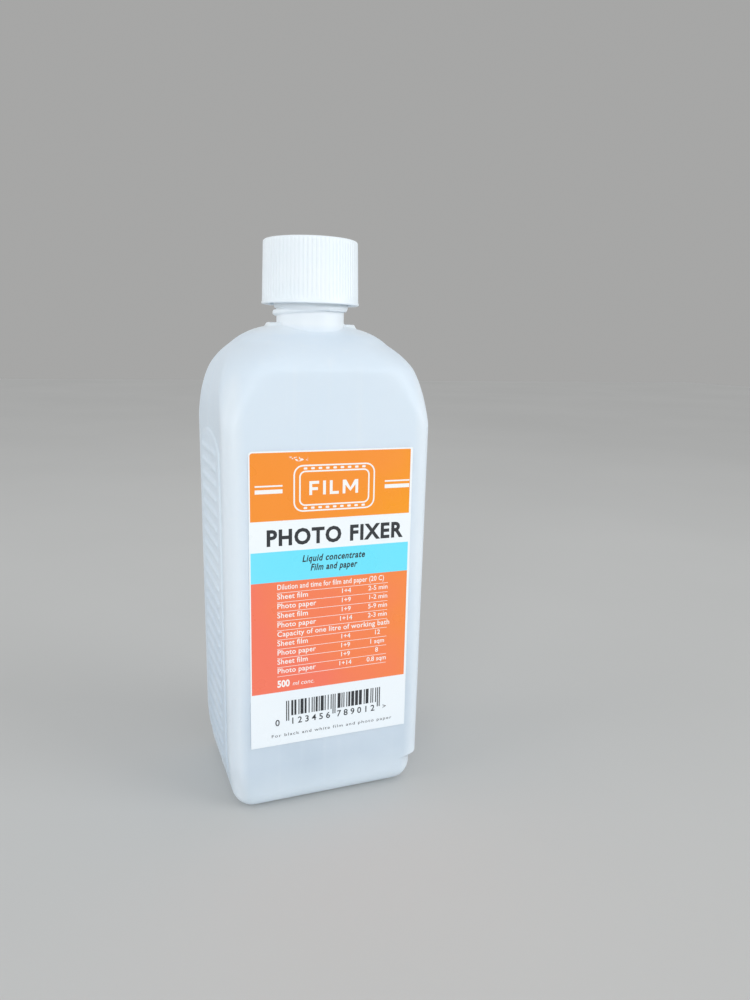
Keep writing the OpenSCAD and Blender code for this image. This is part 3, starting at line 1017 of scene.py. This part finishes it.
def set_stage():
    """A pale floor without end, in an even room that the camera sees in the floor's far tone."""
    half = 3000.0
    corners = [(-half, -half, 0), (half, -half, 0), (half, half, 0), (-half, half, 0)]
    floor = make_object("floor", corners, [(0, 1, 2, 3)], floor_paint(), smooth_shading=False)
    world = bpy.data.worlds.new("room")
    world.use_nodes = True
    tree = world.node_tree
    tree.nodes["Background"].inputs["Color"].default_value = (0.98, 0.99, 1.0, 1)
    tree.nodes["Background"].inputs["Strength"].default_value = ROOM_LIGHT
    seen = tree.nodes.new("ShaderNodeBackground")
    seen.inputs["Color"].default_value = (FLOOR_TONE, FLOOR_TONE, 0.99 * FLOOR_TONE, 1)
    seen.inputs["Strength"].default_value = ROOM_LIGHT
    chooser = tree.nodes.new("ShaderNodeMixShader")
    tree.links.new(tree.nodes.new("ShaderNodeLightPath").outputs["Is Camera Ray"], chooser.inputs["Fac"])
    tree.links.new(tree.nodes["Background"].outputs[0], chooser.inputs[1])
    tree.links.new(seen.outputs[0], chooser.inputs[2])
    tree.links.new(chooser.outputs[0], tree.nodes["World Output"].inputs["Surface"])
    bpy.context.scene.world = world
    add_light("front_left", (-0.8, -1.45, 0.5), 1.0, 1.62)
    add_light("front_right", (1.2, -1.05, 0.5), 1.0, 2.05)
    add_light("left", (-1.5, 0.0, 0.5), 1.0, 0.92)
    bpy.context.scene.view_settings.view_transform = "Standard"


# ---------------------------------------------------------------- build

aim_camera()
set_stage()

plastic, white_cap = bottle_plastic(), cap_plastic()
white_ink = print_ink("white_ink", (0.95, 0.95, 0.93), (0.95, 0.94, 0.92), (0, 0))
dark_ink = print_ink("dark_ink", (0.022, 0.026, 0.032), (0.03, 0.035, 0.04), (0, 0))
film_white = print_ink("label_white", (0.93, 0.975, 0.99), (0.86, 0.92, 0.97), (0, 8))
header_orange = print_ink("header_orange", (0.98, 0.36, 0.0), (0.96, 0.29, 0.025), (22, -14),
                          scuff_at=(-11.5, 122.9, 3.3, 0.9))
table_orange = print_ink("table_orange", (0.96, 0.26, 0.055), (0.94, 0.19, 0.115), (18, 9))
band_blue = print_ink("band_blue", (0.15, 0.79, 0.98), (0.20, 0.80, 0.99), (8, 8))


def belongs(piece, body, slot, *nodes):
    """Puts a finished piece on its body and hides the CAD nodes that it stands for; its slot is not used.
    """
    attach(piece, body)
    if nodes:
        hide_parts(*nodes)
    return piece


belongs(make_bottle(plastic), "bottle", "bottle_plastic", "bottle")
belongs(make_liner(liner_foam()), "liner", "liner_foam", "cap_liner")
belongs(make_inner_cap(white_cap), "inner_cap", "cap_plastic", "inner_cap")
belongs(make_cap_shell(white_cap), "outer_cap", "cap_plastic", "cap_shell")
belongs(make_label_film(film_white), "bottle", "label_print", "front_label")
for colour_patch in make_label_colours(header_orange, band_blue, table_orange):
    belongs(colour_patch, "bottle", "label_print")

light_print = Printing("label_white_print", white_ink, 2)
draw_badge(light_print)
draw_header_bars(light_print)
draw_table(light_print)
belongs(light_print.finish(), "bottle", "label_print")

dark_print = Printing("label_dark_print", dark_ink, 2)
draw_title(dark_print)
draw_band_text(dark_print)
draw_barcode(dark_print)
belongs(dark_print.finish(), "bottle", "label_print")
